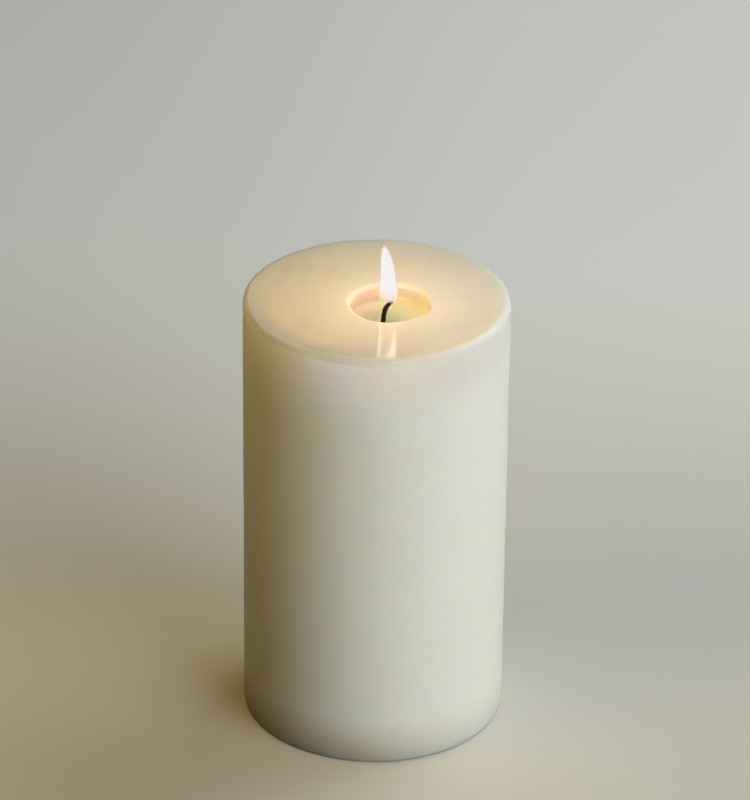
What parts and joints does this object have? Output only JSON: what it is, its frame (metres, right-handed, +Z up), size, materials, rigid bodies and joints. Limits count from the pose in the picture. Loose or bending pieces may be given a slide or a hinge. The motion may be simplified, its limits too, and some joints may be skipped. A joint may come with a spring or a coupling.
{
  "type": "flameless led candle",
  "caption": "Ivory wax pillar candle with a moulded melt pool, a swaying lit flame on a black wick, and a battery base with a door and a slide switch.",
  "frame": {"origin": "centre of the wax shell's bottom, on the surface that the candle stands on", "axes": "+Z up along the candle's axis; -Y is the front, the side where the switch is"},
  "size_m": [0.076, 0.076, 0.1497],
  "materials": {
    "ivory_wax": "cast wax, satin sides and a glossy top",
    "melt_resin": "clear amber resin, glossy",
    "flame_lens": "frosted warm lens, lit from inside",
    "led_epoxy": "clear epoxy",
    "wick_sleeve": "rough black sleeve",
    "white_abs": "moulded, fine texture",
    "ivory_abs": "moulded, fine spark texture",
    "black_abs": "moulded, matt",
    "spring_steel": "nickel plated",
    "magnet_nickel": "nickel plated, bright",
    "copper_winding": "enamelled copper wire",
    "board_green": "green solder mask",
    "cell_can": "plain printed sleeve, semi gloss",
    "foam_black": "closed-cell foam",
    "red_pvc": "wire insulation",
    "black_pvc": "wire insulation",
    "tin_plate": "tinned"
  },
  "bodies": {
    "candle": {"wax_shell": "ivory_wax", "pool_insert": "melt_resin", "pivot_wire": "spring_steel", "pivot_spacers": "white_abs", "head_cup": "white_abs", "coil_bobbin": "black_abs", "drive_coil": "copper_winding", "control_board": "board_green", "board_header": "white_abs", "lead_plug": "white_abs", "board_chip": "black_abs", "board_capacitor": "black_pvc", "board_parts": "black_abs", "board_screws": "spring_steel", "flame_leads": "copper_winding", "light_tower": "white_abs", "tower_screws": "spring_steel", "battery_case": "white_abs", "battery_a": "cell_can", "battery_b": "cell_can", "positive_plate": "tin_plate", "negative_plate": "tin_plate", "negative_spring": "spring_steel", "bridge_plate": "tin_plate", "bridge_spring": "spring_steel", "base_cover": "ivory_abs", "base_screws": "spring_steel", "door_pin": "spring_steel", "switch_body": "black_abs", "switch_terminals": "tin_plate", "red_lead": "red_pvc", "black_lead": "black_pvc", "switch_lead": "red_pvc"},
    "flame": {"flame_lens": "flame_lens", "flame_led": "led_epoxy", "wick": "wick_sleeve", "flame_carrier": "white_abs", "magnet": "magnet_nickel"},
    "door": {"battery_door": "ivory_abs", "door_pad": "foam_black"},
    "switch": {"switch_knob": "black_abs"}
  },
  "joints": [
    {"name": "flame_sway", "type": "hinge", "parent": "candle", "child": "flame", "pos_m": [0.00375, -0.0032, 0.1217], "axis": [0, 1, 0], "range_deg": [-4.5, 4.5]},
    {"name": "door_swing", "type": "hinge", "parent": "candle", "child": "door", "pos_m": [0, 0.0166, 0.002], "axis": [1, 0, 0], "range_deg": [0, 95]},
    {"name": "switch_slide", "type": "slide", "parent": "candle", "child": "switch", "axis": [1, 0, 0], "range_m": [0, 0.005]}
  ]
}
